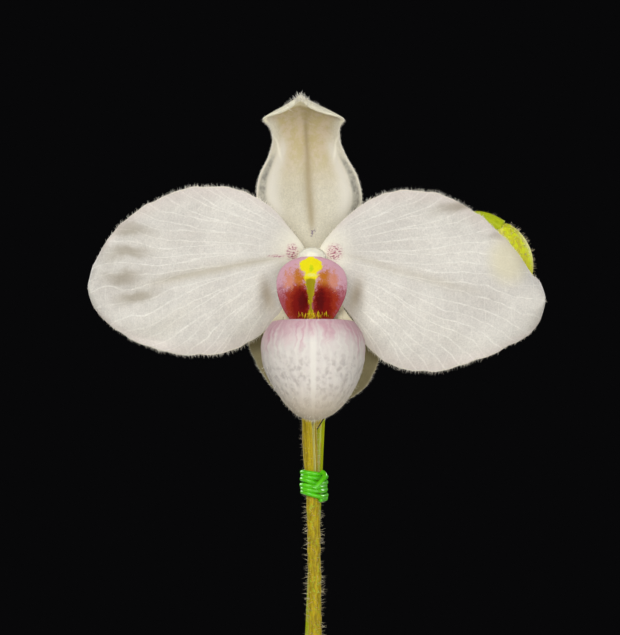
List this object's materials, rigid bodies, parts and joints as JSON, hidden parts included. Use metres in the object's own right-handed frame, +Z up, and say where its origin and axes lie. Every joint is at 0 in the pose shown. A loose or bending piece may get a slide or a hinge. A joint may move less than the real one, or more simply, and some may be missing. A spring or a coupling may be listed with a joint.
{
  "type": "potted joyce hasegawa paphiopedilum",
  "caption": "Slipper orchid in a clay pot: an open flower with an inflated pouch and a bud on a hairy stem tied to a stake, above mottled strap leaves.",
  "frame": {"origin": "centre of the pot's flat base, on the surface that the pot stands on", "axes": "+Z up along the pot's axis, -Y the way the flower faces, +X to the right seen from the front"},
  "size_m": [0.2677, 0.1216, 0.3049],
  "materials": {
    "clay": "unglazed fired clay, matt",
    "bark": "rough conifer bark chips",
    "crown": "fleshy, satin",
    "leaf": "fleshy mottled leaf, satin",
    "young_leaf": "young leaf, satin",
    "stem": "hairy stem",
    "bract": "thin hairy sheath",
    "sepal": "soft petal",
    "petal": "soft petal with fine veins",
    "synsepal": "soft sepal",
    "lip": "smooth inflated pouch",
    "staminode": "shiny shield",
    "column": "waxy",
    "bud": "hairy bud",
    "stake": "smooth plastic-coated rod",
    "tie": "plastic-coated wire"
  },
  "bodies": {
    "root": {"pot": "clay", "potting_mix": "bark", "crown": "crown", "young_crown": "crown", "leaf_1": "leaf", "leaf_2": "leaf", "leaf_3": "leaf", "leaf_4": "leaf", "leaf_5": "leaf", "leaf_6": "leaf", "young_leaf_1": "young_leaf", "young_leaf_2": "young_leaf", "young_leaf_3": "young_leaf", "peduncle": "stem", "floral_bract": "bract", "bud_bract": "bract", "dorsal_sepal": "sepal", "petal_left": "petal", "petal_right": "petal", "synsepal": "synsepal", "lip": "lip", "staminode": "staminode", "column": "column", "bud": "bud", "stake": "stake", "tie_wire": "tie"}
  },
  "joints": []
}
